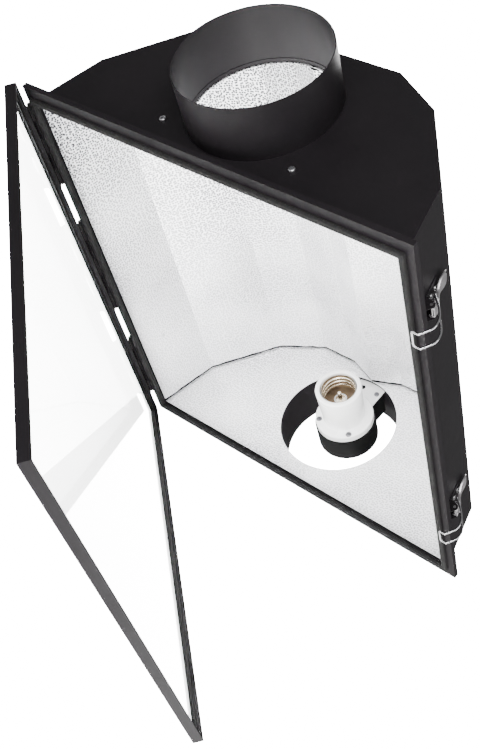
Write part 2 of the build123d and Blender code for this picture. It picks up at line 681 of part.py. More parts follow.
def latch_rivets():
    head = rivet(2.6, 1.1, 1.4, 3.0)
    return Compound(children=[place * head for place in latch_rivet_places()])


# ---- write every piece --------------------------------------------------------------------------------
def build():
    os.makedirs("parts", exist_ok=True)
    save("outer_shell", outer_shell())
    save("end_plate_inlet", end_plate(-1))
    save("end_plate_socket", end_plate(1))
    save("duct_collar_inlet", duct_collar(-1))
    save("duct_collar_socket", duct_collar(1))
    save("end_plate_screws", end_plate_screws())
    save("mouth_frame", mouth_frame())
    save("frame_gasket", frame_gasket())
    save("reflector_liner", reflector_liner())
    save("liner_end_inlet", liner_end(-1))
    save("liner_end_socket", liner_end(1))
    save("liner_rivets", liner_rivets())
    save("socket_body", socket_body())
    save("screw_shell", screw_shell())
    save("centre_contact", centre_contact())
    save("contact_terminal", contact_terminal())
    save("shell_terminal", shell_terminal())
    save("socket_screws", socket_screws())
    save("socket_bracket", socket_bracket())
    save("bracket_screws", bracket_screws())
    save("wire_cover", wire_cover())
    save("cord_gland", cord_gland())
    save("earth_screw", earth_screw())
    for number, (sx, sy) in enumerate([(-1, -1), (1, -1), (1, 1), (-1, 1)], start=1):
        save("hanger_tab_" + str(number), hanger_tab(sx, sy))
    save("hanger_rivets", hanger_rivets())
    save("door_frame", opened(door_frame()))
    save("door_glass", opened(door_glass()))
    save("glass_seal", opened(glass_seal()))
    save("glass_bead", opened(glass_bead()))
    for number, span in enumerate(HINGES, start=1):
        save("hinge_frame_leaf_" + str(number), hinge_frame_leaf(span))
        save("hinge_door_leaf_" + str(number), opened(hinge_door_leaf(span)))
        save("hinge_pin_" + str(number), hinge_pin(span))
    for number, y in enumerate(LATCH_Y, start=1):
        save("latch_base_" + str(number), latch_base(y))
        save("latch_pivot_" + str(number), latch_pivot(y))
        save("latch_lever_" + str(number), latch_lever(y))
        save("latch_bail_" + str(number), latch_bail(y))
    save("latch_rivets", latch_rivets())


build()
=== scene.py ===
import math
import random

import bmesh
import bpy
from mathutils import Matrix, Vector


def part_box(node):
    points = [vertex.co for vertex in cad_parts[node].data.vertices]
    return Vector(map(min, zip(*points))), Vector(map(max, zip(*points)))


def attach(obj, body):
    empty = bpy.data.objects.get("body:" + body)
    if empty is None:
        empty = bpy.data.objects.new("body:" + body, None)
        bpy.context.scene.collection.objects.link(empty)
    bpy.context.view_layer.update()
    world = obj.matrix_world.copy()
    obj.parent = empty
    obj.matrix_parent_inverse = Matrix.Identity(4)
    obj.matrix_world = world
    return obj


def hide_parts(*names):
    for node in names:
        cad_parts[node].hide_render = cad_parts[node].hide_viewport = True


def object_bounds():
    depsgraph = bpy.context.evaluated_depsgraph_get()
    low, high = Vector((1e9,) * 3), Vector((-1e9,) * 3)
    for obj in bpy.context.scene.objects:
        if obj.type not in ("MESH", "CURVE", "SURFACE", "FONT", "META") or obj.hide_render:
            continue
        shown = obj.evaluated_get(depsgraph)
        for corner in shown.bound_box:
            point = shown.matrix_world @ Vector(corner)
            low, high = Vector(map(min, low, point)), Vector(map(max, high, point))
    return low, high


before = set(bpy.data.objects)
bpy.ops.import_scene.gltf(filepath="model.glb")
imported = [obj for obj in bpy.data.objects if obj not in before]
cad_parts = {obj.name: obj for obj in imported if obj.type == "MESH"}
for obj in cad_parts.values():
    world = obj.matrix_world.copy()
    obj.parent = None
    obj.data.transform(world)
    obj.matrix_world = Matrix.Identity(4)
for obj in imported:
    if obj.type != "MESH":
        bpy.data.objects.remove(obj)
cad_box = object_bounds()

# ---- places and sizes, in metres ----------------------------------------------------------------------
MM = 0.001
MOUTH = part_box("mouth_frame")[0].z

SHEET = 0.8 * MM
BEND_R = 2.6 * MM
SHELL_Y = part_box("outer_shell")[1].y
SHELL_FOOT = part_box("outer_shell")[0].z

LINER_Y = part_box("reflector_liner")[1].y
LINER_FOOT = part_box("reflector_liner")[0].z
LINER_BEND_R = 1.6 * MM
LINER_SEAM = 2.4 * MM
LINER_RAGGED = 1.9 * MM
LINER_STEP = 9.0 * MM
DIMPLE = 2.9 * MM

socket_low, socket_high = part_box("socket_body")
SOCKET_Z = (socket_low.z + socket_high.z) / 2
SOCKET_MOUTH = socket_low.y
SOCKET_BACK = socket_high.y
FLANGE_R = (socket_high.z - socket_low.z) / 2
FLANGE_T = 7.0 * MM
SCREW_HEAD_R = 3.5 * MM
SCREW_WELL_R = 3.9 * MM
THREAD_R = 20.9 * MM
THREAD_DEPTH = 0.85 * MM
THREAD_PITCH = 6.35 * MM
THREAD_TURNS = 3
THREAD_START = SOCKET_MOUTH + 3.0 * MM
THREAD_WALL = 0.5 * MM
SEAT = SOCKET_MOUTH + 24.0 * MM
CONTACT_REACH = 14.0 * MM

LEVER_SHEET = 0.9 * MM
BAIL_R = 1.1 * MM
BAIL_HALF = 9.3 * MM
BAIL_END = 4.0 * MM
BAIL_BEND_R = 2.6 * MM

# ---- outlines and their sizes, in millimetres, with heights from the mouth frame's front plane --------
SECTION = [(222.6, 0.0), (203.4, 80.0), (144.0, 157.5), (87.0, 188.0), (0.0, 188.0)]
LINER_GAP = 6.5
LINER_T = 0.6
RIDGE_HALF = 37.0
RIDGE_DROP = 14.5

# the latch-side wall: its foot and its lean
WALL_FOOT = Vector((SECTION[0][0] * MM, 0, MOUTH))
WALL_LEAN = math.atan2(SECTION[0][0] - SECTION[1][0], SECTION[1][1])

# the lever's pivot: height along that wall; the bail's: distance from the wall and height along it
LEVER_PIVOT_UP = 21.0
BAIL_PIVOT = (6.8, 31.0)

# the bail's bow round the frame's edge, as X and height, and the X of the two ends of its hook
BAIL_BOW = [(233.5, 21.0), (240.8, 10.0), (241.6, -1.0)]
HOOK_TURN = 235.4
HOOK_END = 228.5

# the lever: distance from the wall, height above its pivot, half width, depth of the turned-in edges
LEVER = [(10.4, -3.0, 5.4, 6.0), (10.7, 3.0, 5.4, 6.2), (10.3, 8.0, 4.6, 5.4), (8.9, 12.5, 2.7, 4.0),
         (7.2, 17.0, 2.3, 3.2), (6.0, 21.5, 2.5, 2.8), (5.4, 26.0, 4.4, 2.6), (5.2, 30.5, 6.2, 2.4),
         (5.4, 35.0, 6.8, 2.2), (5.2, 39.5, 6.5, 1.9), (4.4, 43.0, 5.0, 1.5), (3.4, 45.6, 2.4, 0.9)]

# share of the half width between the turned-in edges; the finger dish: depth, first height and run
LEVER_FLAT = 0.75
DISH = 1.1
DISH_START = 20.0
DISH_RUN = 10.0

# ---- studio -------------------------------------------------------------------------------------------
WHITE = (1.0, 1.0, 1.0, 1.0)
SEEN_STRENGTH = 26.0
LIGHT_STRENGTH = 0.22
FLOOR_SIZE = 40.0
FLOOR_DROP = 0.55


# ---- shader helpers -----------------------------------------------------------------------------------
class Shader:
    """A material under construction: nodes are added by type and joined by socket."""

    def __init__(self, name):
        self.material = bpy.data.materials.new(name)
        self.material.use_nodes = True
        self.tree = self.material.node_tree
        self.tree.nodes.clear()
        self.out = self.add("ShaderNodeOutputMaterial")
        self.bsdf = self.add("ShaderNodeBsdfPrincipled")
        self.join(self.bsdf.outputs[0], self.out.inputs["Surface"])
        self.coords = self.add("ShaderNodeTexCoord").outputs["Object"]

    def add(self, kind, **settings):
        node = self.tree.nodes.new(kind)
        for key, value in settings.items():
            setattr(node, key, value)
        return node

    def join(self, source, target):
        self.tree.links.new(source, target)

    def fixed(self, **values):
        for key, value in values.items():
            self.bsdf.inputs[key.replace("_", " ")].default_value = value

    def stretched(self, scale):
        """The object's coordinates, scaled on each axis."""
        mapping = self.add("ShaderNodeMapping")
        mapping.inputs["Scale"].default_value = scale
        self.join(self.coords, mapping.inputs["Vector"])
        return mapping.outputs[0]

    def noise(self, scale, detail=3.0, rough=0.5, vector=None, distortion=0.0):
        node = self.add("ShaderNodeTexNoise")
        node.inputs["Scale"].default_value = scale
        node.inputs["Detail"].default_value = detail
        node.inputs["Roughness"].default_value = rough
        node.inputs["Distortion"].default_value = distortion
        self.join(vector or self.coords, node.inputs["Vector"])
        return node.outputs["Fac"]

    def ramp(self, source, stops):
        node = self.add("ShaderNodeValToRGB")
        elements = node.color_ramp.elements
        while len(elements) < len(stops):
            elements.new(0.5)
        for element, (position, colour) in zip(elements, stops):
            element.position = position
            element.color = (*colour, 1.0)
        self.join(source, node.inputs[0])
        return node.outputs[0]

    def span(self, source, low, high, start=0.3, end=0.7):
        """source remapped to run from low to high."""
        node = self.add("ShaderNodeMapRange")
        node.inputs["From Min"].default_value = start
        node.inputs["From Max"].default_value = end
        node.inputs["To Min"].default_value = low
        node.inputs["To Max"].default_value = high
        self.join(source, node.inputs["Value"])
        return node.outputs[0]

    def mixed(self, factor, one, two):
        node = self.add("ShaderNodeMix", data_type="RGBA")
        for source, slot in ((factor, 0), (one, 6), (two, 7)):
            if isinstance(source, tuple):
                node.inputs[slot].default_value = (*source, 1.0)
            else:
                self.join(source, node.inputs[slot])
        return node.outputs[2]

    def sum(self, one, two, share=1.0):
        """one plus share times two."""
        node = self.add("ShaderNodeMath", operation="MULTIPLY_ADD")
        self.join(two, node.inputs[0])
        node.inputs[1].default_value = share
        self.join(one, node.inputs[2])
        return node.outputs[0]

    def bump(self, height, distance, strength=1.0):
        node = self.add("ShaderNodeBump")
        node.inputs["Strength"].default_value = strength
        node.inputs["Distance"].default_value = distance
        self.join(height, node.inputs["Height"])
        self.join(node.outputs[0], self.bsdf.inputs["Normal"])


# ---- materials ----------------------------------------------------------------------------------------
def powder_coat(name, dark, light, dusty, low_rough, high_rough, gloss):
    """Powder-coated steel: a fine orange peel, slow changes of gloss, and a little dust."""
    s = Shader(name)
    tone = s.ramp(s.noise(7.0, 4.0, 0.6), [(0.3, dark), (0.7, light)])
    dust = s.span(s.noise(420.0, 2.0, 0.7), 0.0, 0.09, 0.62, 0.8)
    s.join(s.mixed(dust, tone, dusty), s.bsdf.inputs["Base Color"])
    s.join(s.span(s.noise(13.0, 5.0, 0.65, distortion=0.4), low_rough, high_rough),
           s.bsdf.inputs["Roughness"])
    s.fixed(Specular_IOR_Level=gloss)
    s.bump(s.sum(s.noise(900.0, 2.0), s.noise(5.0, 1.0), 4.0), 0.00006, 0.5)
    return s.material


def round_dimples(s):
    """1 between the dimples and 0 in their middles."""
    cells = s.add("ShaderNodeTexVoronoi", voronoi_dimensions="2D")
    cells.inputs["Scale"].default_value = 1.0 / DIMPLE
    cells.inputs["Randomness"].default_value = 0.7
    s.join(s.coords, cells.inputs["Vector"])
    dimple = s.add("ShaderNodeMapRange", interpolation_type="SMOOTHSTEP")
    dimple.inputs["From Min"].default_value = 0.24
    dimple.inputs["From Max"].default_value = 0.48
    s.join(cells.outputs["Distance"], dimple.inputs["Value"])
    return dimple.outputs[0]


def painted_shade_strength(s, cloud):
    """How strongly the dimples' middles are painted dark as painted shade: full at the inlet end, weaker
    towards the socket end, and uneven with the clouds.
    """
    where = s.add("ShaderNodeSeparateXYZ")
    s.join(s.add("ShaderNodeTexCoord").outputs["Object"], where.inputs[0])
    along = s.span(where.outputs["Y"], 1.0, 0.34, -0.16, 0.06)
    return s.sum(along, s.span(cloud, 1.0, -1.0), 0.24)


def dimpled_metal(name):
    """Bright aluminium sheet, embossed with small round dimples in a loose stagger. Their middles are
    painted near black as painted shade, deeper towards the inlet end."""
    s = Shader(name)
    s.coords = s.add("ShaderNodeTexCoord").outputs["UV"]
    dimple = round_dimples(s)
    cloud = s.noise(5.0, 3.0, 0.6)
    # painted shade: how dark the dimples' middles are painted, strongest at the inlet end
    painted_shade = s.add("ShaderNodeMath", operation="MULTIPLY", use_clamp=True)
    s.join(s.span(dimple, 1.0, 0.0, 0.0, 0.8), painted_shade.inputs[0])
    s.join(painted_shade_strength(s, cloud), painted_shade.inputs[1])
    shine = s.ramp(cloud, [(0.3, (0.74, 0.74, 0.765)), (0.62, (0.94, 0.94, 0.95))])
    # the near-black colour painted into the dimples' middles is painted shade
    s.join(s.mixed(painted_shade.outputs[0], shine, (0.02, 0.02, 0.024)), s.bsdf.inputs["Base Color"])
    s.join(s.span(cloud, 0.24, 0.34), s.bsdf.inputs["Roughness"])
    s.fixed(Metallic=0.6, Specular_IOR_Level=0.5)
    s.bump(s.sum(dimple, s.noise(40.0, 2.0), 0.5), 0.0004, 1.0)
    return s.material


def glazed_porcelain(name):
    """White porcelain under a clear glaze with a slight ripple."""
    s = Shader(name)
    s.join(s.ramp(s.noise(30.0, 4.0), [(0.3, (0.80, 0.80, 0.79)), (0.7, (0.86, 0.86, 0.85))]),
           s.bsdf.inputs["Base Color"])
    s.join(s.span(s.noise(60.0, 3.0), 0.16, 0.28), s.bsdf.inputs["Roughness"])
    s.fixed(Coat_Weight=0.6, Coat_Roughness=0.06, IOR=1.52)
    s.bump(s.sum(s.noise(55.0, 2.0), s.noise(700.0, 1.0), 0.15), 0.00018, 0.5)
    return s.material


def worn_metal(name, clean, dull, low_rough, high_rough, grain=(300.0, 300.0, 300.0), depth=0.00003):
    """Plated or bare metal with tarnish patches and a fine grain, which can run along one axis."""
    s = Shader(name)
    patch = s.noise(90.0, 5.0, 0.65)
    s.join(s.ramp(patch, [(0.35, clean), (0.72, dull)]), s.bsdf.inputs["Base Color"])
    fine = s.noise(1.0, 4.0, 0.7, vector=s.stretched(grain))
    s.join(s.span(s.sum(fine, patch, 0.4), low_rough, high_rough, 0.4, 1.0),
           s.bsdf.inputs["Roughness"])
    s.fixed(Metallic=1.0)
    s.bump(fine, depth, 0.5)
    return s.material


def rolled_thread_metal(name):
    """Bright plated crests that fall to brown tarnish and painted shade in the valleys."""
    s = Shader(name)
    valley = s.add("ShaderNodeAttribute", attribute_name="valley").outputs["Fac"]
    valley_tarnish_and_shade = s.sum(valley, s.span(s.noise(120.0, 3.0), -1.0, 1.0), 0.08)
    # the valleys are painted dark brown: tarnish and painted shade
    s.join(s.ramp(valley_tarnish_and_shade, [(0.25, (0.82, 0.77, 0.68)), (0.62, (0.16, 0.115, 0.07))]),
           s.bsdf.inputs["Base Color"])
    s.join(s.span(valley_tarnish_and_shade, 0.14, 0.36, 0.2, 0.8), s.bsdf.inputs["Roughness"])
    s.fixed(Metallic=1.0)
    return s.material


def soft_black(name, base, dusty, rough, pores, depth):
    """Foam or silicone: near black, with pores or a faint ripple."""
    s = Shader(name)
    dust = s.span(s.noise(160.0, 4.0, 0.7), 0.0, 0.5, 0.45, 0.8)
    s.join(s.mixed(dust, base, dusty), s.bsdf.inputs["Base Color"])
    s.join(s.span(s.noise(40.0), rough - 0.08, rough + 0.08), s.bsdf.inputs["Roughness"])
    s.bump(s.noise(pores, 4.0, 0.7), depth, 0.7)
    return s.material


def moulded_nylon(name):
    """Black nylon with the fine texture of a mould."""
    s = Shader(name)
    s.join(s.ramp(s.noise(50.0, 4.0), [(0.3, (0.018, 0.018, 0.019)), (0.7, (0.03, 0.03, 0.031))]),
           s.bsdf.inputs["Base Color"])
    s.join(s.span(s.noise(120.0), 0.42, 0.56), s.bsdf.inputs["Roughness"])
    s.bump(s.noise(2200.0, 2.0), 0.00003, 0.6)
    return s.material


def clear_glass(name):
    """Float glass: clear, with a trace of green and a faint ripple."""
    s = Shader(name)
    s.join(s.ramp(s.noise(3.0, 2.0), [(0.2, (0.978, 0.988, 0.984)), (0.8, (0.988, 0.995, 0.992))]),
           s.bsdf.inputs["Base Color"])
    s.fixed(Transmission_Weight=1.0, IOR=1.5, Roughness=0.0)
    s.bump(s.noise(4.0, 1.0), 0.00002, 0.2)
    return s.material


def studio_floor(name):
    """Plain, pale and matt."""
    s = Shader(name)
    s.join(s.ramp(s.noise(0.8, 3.0), [(0.3, (0.80, 0.80, 0.79)), (0.7, (0.84, 0.84, 0.83))]),
           s.bsdf.inputs["Base Color"])
    s.fixed(Roughness=0.75)
    return s.material


POWDER = powder_coat("black_powder_coat", (0.0092, 0.0078, 0.0092), (0.0138, 0.0118, 0.0138),
                     (0.05, 0.046, 0.05), 0.42, 0.52, 0.17)
COVER_BLACK = powder_coat("matt_black_coat", (0.003, 0.003, 0.0032), (0.005, 0.005, 0.0052),
                          (0.03, 0.03, 0.03), 0.5, 0.62, 0.2)
WHITE_PAINT = powder_coat("white_paint", (0.76, 0.76, 0.75), (0.82, 0.82, 0.81),
                          (0.70, 0.70, 0.69), 0.3, 0.42, 0.5)
LINER_METAL = dimpled_metal("dimpled_aluminium")
PORCELAIN = glazed_porcelain("glazed_porcelain")
THREAD_METAL = worn_metal("nickel_plated_brass", (0.86, 0.80, 0.68), (0.66, 0.58, 0.46), 0.15, 0.24,
                          (40.0, 40.0, 40.0), 0.000002)
ROLLED_METAL = rolled_thread_metal("rolled_thread_metal")
# the thread floor's brass is painted very dark brown: tarnish and painted shade of the socket's depth
FLOOR_TARNISH_AND_SHADE = worn_metal("floor_tarnish_and_shade_brass", (0.16, 0.12, 0.08), (0.09, 0.065, 0.045), 0.3, 0.5)
NICKEL = worn_metal("satin_nickel", (0.78, 0.76, 0.77), (0.60, 0.58, 0.60), 0.30, 0.42,
                    (200.0, 200.0, 1600.0))
WIRE = worn_metal("nickel_wire", (0.84, 0.84, 0.85), (0.66, 0.66, 0.68), 0.10, 0.24,
                  (1500.0, 1500.0, 150.0))
ZINC = worn_metal("zinc_plate", (0.66, 0.66, 0.68), (0.40, 0.40, 0.42), 0.26, 0.45)
STEEL = worn_metal("turned_steel", (0.56, 0.56, 0.57), (0.36, 0.35, 0.34), 0.28, 0.46,
                   (1500.0, 90.0, 1500.0))
DARK_STEEL = worn_metal("dark_plated_steel", (0.20, 0.20, 0.21), (0.10, 0.10, 0.11), 0.3, 0.45)
RIVET_METAL = worn_metal("rivet_aluminium", (0.74, 0.74, 0.75), (0.52, 0.52, 0.53), 0.26, 0.42)
FOAM = soft_black("gasket_foam", (0.006, 0.006, 0.006), (0.03, 0.03, 0.03), 0.85, 1500.0, 0.0002)
SILICONE = soft_black("black_silicone", (0.008, 0.008, 0.008), (0.02, 0.02, 0.02), 0.4, 120.0, 0.0001)
NYLON = moulded_nylon("black_nylon")
GLASS = clear_glass("float_glass")


# ---- mesh helpers -------------------------------------------------------------------------------------
def finish_mesh(mesh, material, sharp_degrees=35.0):
    """Smooth shading with sharp edges, and one material."""
    mesh.validate()
    mesh.update()
    mesh.shade_smooth()
    mesh.set_sharp_from_angle(angle=math.radians(sharp_degrees))
    mesh.materials.clear()
    mesh.materials.append(material)


def place(obj, slot, body, *nodes):
    """Put a new piece on a body, and let it stand for CAD nodes. The slot is not used."""
    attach(obj, body)
    if nodes:
        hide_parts(*nodes)
    return obj


def new_object(name, bm, material, sharp_degrees=35.0):
    """An object with one finished mesh, made from a bmesh and linked to the scene."""
    bmesh.ops.recalc_face_normals(bm, faces=bm.faces)
    mesh = bpy.data.meshes.new(name)
    bm.to_mesh(mesh)
    bm.free()
    finish_mesh(mesh, material, sharp_degrees)
    obj = bpy.data.objects.new(name, mesh)
    bpy.context.scene.collection.objects.link(obj)
    return obj


def applied(obj):
    """The object with its modifiers made part of its mesh."""
    graph = bpy.context.evaluated_depsgraph_get()
    mesh = bpy.data.meshes.new_from_object(obj.evaluated_get(graph))
    obj.modifiers.clear()
    obj.data = mesh
    return obj


def even_shading(obj):
    """Normals that keep flat faces flat beside their rounded edges."""
    modifier = obj.modifiers.new("even", "WEIGHTED_NORMAL")
    modifier.keep_sharp = True
    return applied(obj)


def softened(node, width, material, slot, body, segments=2):
    """A copy of a CAD piece with its bends and edges rounded, in place of the piece."""
    merge_distance = 1e-6
    flat_angle = math.radians(0.6)
    edge_angle = math.radians(30.0)
    bm = bmesh.new()
    bm.from_mesh(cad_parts[node].data)
    bmesh.ops.remove_doubles(bm, verts=bm.verts, dist=merge_distance)
    bmesh.ops.dissolve_limit(bm, angle_limit=flat_angle, verts=bm.verts, edges=bm.edges)
    edges = [e for e in bm.edges if e.is_manifold and e.calc_face_angle(0.0) > edge_angle]
    bmesh.ops.bevel(bm, geom=edges, offset=width, segments=segments, profile=0.5, affect="EDGES",
                    clamp_overlap=True)
    obj = even_shading(new_object("soft_" + node, bm, material, 32.0))
    return place(obj, slot, body, node)


def shifted_line(a, b, distance):
    """The line a-b moved to its left, as a point and a direction."""
    length = math.dist(a, b)
    dx = (b[0] - a[0]) / length
    dz = (b[1] - a[1]) / length
    return (a[0] - dz * distance, a[1] + dx * distance), (dx, dz)


def crossing(one, two):
    """The point where two such lines cross."""
    (ax, az), (adx, adz) = one
    (bx, bz), (bdx, bdz) = two
    along = ((bx - ax) * bdz - (bz - az) * bdx) / (adx * bdz - adz * bdx)
    return ax + adx * along, az + adz * along


def section(inset, foot, ridge=0.0):
    """The hood's section from one foot over the roof to the other: sizes in millimetres, points in metres.
    It lies inset inside the outer one, starts at the foot's height, and can have a ridge in its roof."""
    lines = [shifted_line(a, b, inset) for a, b in zip(SECTION, SECTION[1:])]
    right = [crossing(((0.0, foot), (1.0, 0.0)), lines[0])]
    right += [crossing(one, two) for one, two in zip(lines, lines[1:])]
    if ridge:
        roof = right[-1][1]
        right += [(RIDGE_HALF, roof), (0.0, roof - ridge)]
    points = right + [(-x, z) for x, z in reversed(right) if x > 0.01]
    return [Vector((x * MM, z * MM + MOUTH)) for x, z in points]


def rounded(points, radius, steps=5):
    """An open path with each corner turned into a short arc."""
    path = [points[0]]
    for before, corner, after in zip(points, points[1:], points[2:]):
        a = (before - corner).normalized()
        b = (after - corner).normalized()
        half = max(a.angle(b) / 2, 0.05)
        reach = min(radius / math.tan(half), (before - corner).length * 0.45,
                    (after - corner).length * 0.45)
        start = corner + a * reach
        end = corner + b * reach
        for i in range(steps + 1):
            t = i / steps
            path.append(start * (1 - t) ** 2 + corner * 2 * t * (1 - t) + end * t ** 2)
    return path + [points[-1]]


def sheet_prism(name, outer, inner, stations, material, ragged=0.0):
    """A folded sheet: two matching paths in X and Z, carried along the Y stations, closed all round.
    Its UV map is the length along the fold and Y, in metres. Its two ends can be cut raggedly."""
    bm = bmesh.new()
    uv = bm.loops.layers.uv.new("flat")
    loop = outer + list(reversed(inner))
    run = [0.0]
    for a, b in zip(outer, outer[1:]):
        run.append(run[-1] + (b - a).length)
    run += list(reversed(run))
    count = len(loop)
    half = len(outer)
    trims = {end: [random.uniform(0.0, ragged) for p in outer] for end in (0, len(stations) - 1)}
    rows = []
    for j, y in enumerate(stations):
        trim = trims.get(j, [0.0] * half)
        trim = trim + list(reversed(trim))
        rows.append([bm.verts.new((p.x, y - math.copysign(cut_by, y), p.y))
                     for p, cut_by in zip(loop, trim)])

    def face(corners):
        made = bm.faces.new([rows[j][i % count] for j, i in corners])
        for piece, (j, i) in zip(made.loops, corners):
            piece[uv].uv = (run[i % count], stations[j])

    for j in range(len(stations) - 1):
        for i in range(count):
            face([(j, i), (j, i + 1), (j + 1, i + 1), (j + 1, i)])
    for j in (0, len(stations) - 1):
        for i in range(half - 1):
            face([(j, i), (j, i + 1), (j, count - 2 - i), (j, count - 1 - i)])
    return new_object(name, bm, material, 50.0)


def lathe(name, outline, material, steps, sharp_degrees=35.0):
    """A closed outline of (radius, y) turned about the lamp axis."""
    bm = bmesh.new()
    rings = []
    for radius, y in outline:
        if radius == 0.0:
            rings.append([bm.verts.new((0, y, SOCKET_Z))])
            continue
        ring = []
        for i in range(steps):
            turn = 2 * math.pi * i / steps
            ring.append(bm.verts.new((radius * math.cos(turn), y, SOCKET_Z + radius * math.sin(turn))))
        rings.append(ring)
    for one, two in zip(rings, rings[1:] + rings[:1]):
        for i in range(steps):
            quad = [one[i % len(one)], one[(i + 1) % len(one)],
                    two[(i + 1) % len(two)], two[i % len(two)]]
            corners = list(dict.fromkeys(quad))
            if len(corners) > 2:
                bm.faces.new(corners)
    return new_object(name, bm, material, sharp_degrees)


def arc(cx, cy, radius, start, end):
    """Points on an arc, angles in degrees."""
    steps = 6
    turns = [math.radians(start + (end - start) * i / steps) for i in range(steps + 1)]
    return [(cx + radius * math.cos(t), cy + radius * math.sin(t)) for t in turns]


def cylinder(radius, start, end):
    """A plain round cutter between two points."""
    axis = end - start
    bm = bmesh.new()
    turn = axis.to_track_quat("Z", "Y").to_matrix().to_4x4()
    bmesh.ops.create_cone(bm, cap_ends=True, segments=24, radius1=radius, radius2=radius,
                          depth=axis.length, matrix=Matrix.Translation((start + end) / 2) @ turn)
    return new_object("cutter", bm, STEEL)


def cut(obj, cutters):
    """The object with the cutters taken out of it. The cutters are deleted."""
    for cutter in cutters:
        modifier = obj.modifiers.new("cut", "BOOLEAN")
        modifier.operation = "DIFFERENCE"
        modifier.solver = "EXACT"
        modifier.object = cutter
    applied(obj)
    for cutter in cutters:
        bpy.data.objects.remove(cutter)
    return obj


def repaint(node, material):
    """A CAD piece whose shape is right gets its finish."""
    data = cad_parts[node].data
    data.materials.clear()
    data.materials.append(material)


# ---- shell, plates, collars and frame -----------------------------------------------------------------
def make_shell():
    """The folded black sheet."""
    foot = (SHELL_FOOT - MOUTH) / MM
    outer = rounded(section(0.0, foot), BEND_R)
    inner = rounded(section(SHEET / MM, foot), BEND_R - SHEET)
    shell = sheet_prism("folded_shell", outer, inner, [-SHELL_Y, SHELL_Y], POWDER)
    place(shell, "black_powder", "root", "outer_shell")


def make_housing():
    """End plates, duct collars, mouth frame with its gasket, and hanging tabs."""
    for node in ("end_plate_inlet", "end_plate_socket", "duct_collar_inlet", "duct_collar_socket"):
        softened(node, 0.35 * MM, POWDER, "black_powder", "root")
    softened("mouth_frame", 0.34 * MM, POWDER, "black_powder", "root")
    softened("frame_gasket", 0.6 * MM, FOAM, "gasket_foam", "root")
    for number in range(1, 5):
        softened(f"hanger_tab_{number}", 0.45 * MM, POWDER, "black_powder", "root")


# ---- reflector ----------------------------------------------------------------------------------------
def with_steps(path):
    """The path with extra points along its longer runs, evenly spaced."""
    points = []
    for a, b in zip(path, path[1:]):
        parts = max(1, round((b - a).length / LINER_STEP))
        points += [a + (b - a) * i / parts for i in range(parts)]
    return points + [path[-1]]


def make_liner():
    """The folded reflector with its ridge, in sheet that ends a little short of the end panels."""
    foot = (LINER_FOOT - MOUTH) / MM
    outer = rounded(section(LINER_GAP, foot, RIDGE_DROP), LINER_BEND_R, 4)
    inner = rounded(section(LINER_GAP + LINER_T, foot, RIDGE_DROP), LINER_BEND_R - LINER_T * MM, 4)
    reach = LINER_Y - LINER_SEAM
    steps = 12
    stations = [reach * (2 * i / steps - 1) for i in range(steps + 1)]
    liner = sheet_prism("dimpled_liner", with_steps(outer), with_steps(inner), stations, LINER_METAL,
                        LINER_RAGGED)
    place(liner, "dimpled_aluminium", "root", "reflector_liner")
    for node in ("liner_end_inlet", "liner_end_socket"):
        make_liner_end(node)


def make_liner_end(node):
    """A flat end panel, with its UV map in metres like the liner's."""
    end = softened(node, 0.15 * MM, LINER_METAL, "dimpled_aluminium", "root", 1)
    layer = end.data.uv_layers.new(name="flat")
    for piece in end.data.loops:
        point = end.data.vertices[piece.vertex_index].co
        layer.data[piece.index].uv = (point.x, point.z)


# ---- lamp socket --------------------------------------------------------------------------------------
def make_socket():
    """The porcelain body: a round flange, a barrel that widens to a rounded rim, and its bore."""
    front = SOCKET_BACK - FLANGE_T
    bore_r = 22.9 * MM
    foot_r = 26.2 * MM
    rim_r = 28.6 * MM
    rim_depth = 4.0 * MM
    back_edge = 0.8 * MM
    front_edge = 1.6 * MM
    fillet = 3.0 * MM
    rim_outside = 2.4 * MM
    rim_inside = 1.5 * MM
    outline = [(0.0, SOCKET_BACK), (FLANGE_R - back_edge, SOCKET_BACK), (FLANGE_R, SOCKET_BACK - back_edge)]
    outline += arc(FLANGE_R - front_edge, front + front_edge, front_edge, 0, -90)
    outline += arc(foot_r + fillet, front - fillet, fillet, 90, 180)
    outline += [(rim_r, SOCKET_MOUTH + rim_depth)]
    outline += arc(rim_r - rim_outside, SOCKET_MOUTH + rim_outside, rim_outside, 0, -90)
    outline += arc(bore_r + rim_inside, SOCKET_MOUTH + rim_inside, rim_inside, -90, -180)
    outline += [(bore_r, SEAT), (0.0, SEAT)]
    body = lathe("porcelain_socket", outline, PORCELAIN, 128)
    cut(body, [screw_well(screw, front) for screw in screw_centres()])
    finish_mesh(body.data, PORCELAIN)
    place(body, "porcelain", "root", "socket_body")


def screw_centres():
    """Centres of the two lower flange screws and of the third one above the lamp axis."""
    low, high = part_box("socket_screws")
    sides = (low.x + SCREW_HEAD_R, high.x - SCREW_HEAD_R)
    centres = [Vector((x, low.y, low.z + SCREW_HEAD_R)) for x in sides]
    return centres + [Vector(((low.x + high.x) / 2, low.y, high.z - SCREW_HEAD_R))]


def screw_well(screw, front):
    """A cutter for the shallow round well in the flange's front under a screw's head."""
    before = 2.0 * MM
    depth = 1.6 * MM
    return cylinder(SCREW_WELL_R, Vector((screw.x, front - before, screw.z)),
                    Vector((screw.x, front + depth, screw.z)))


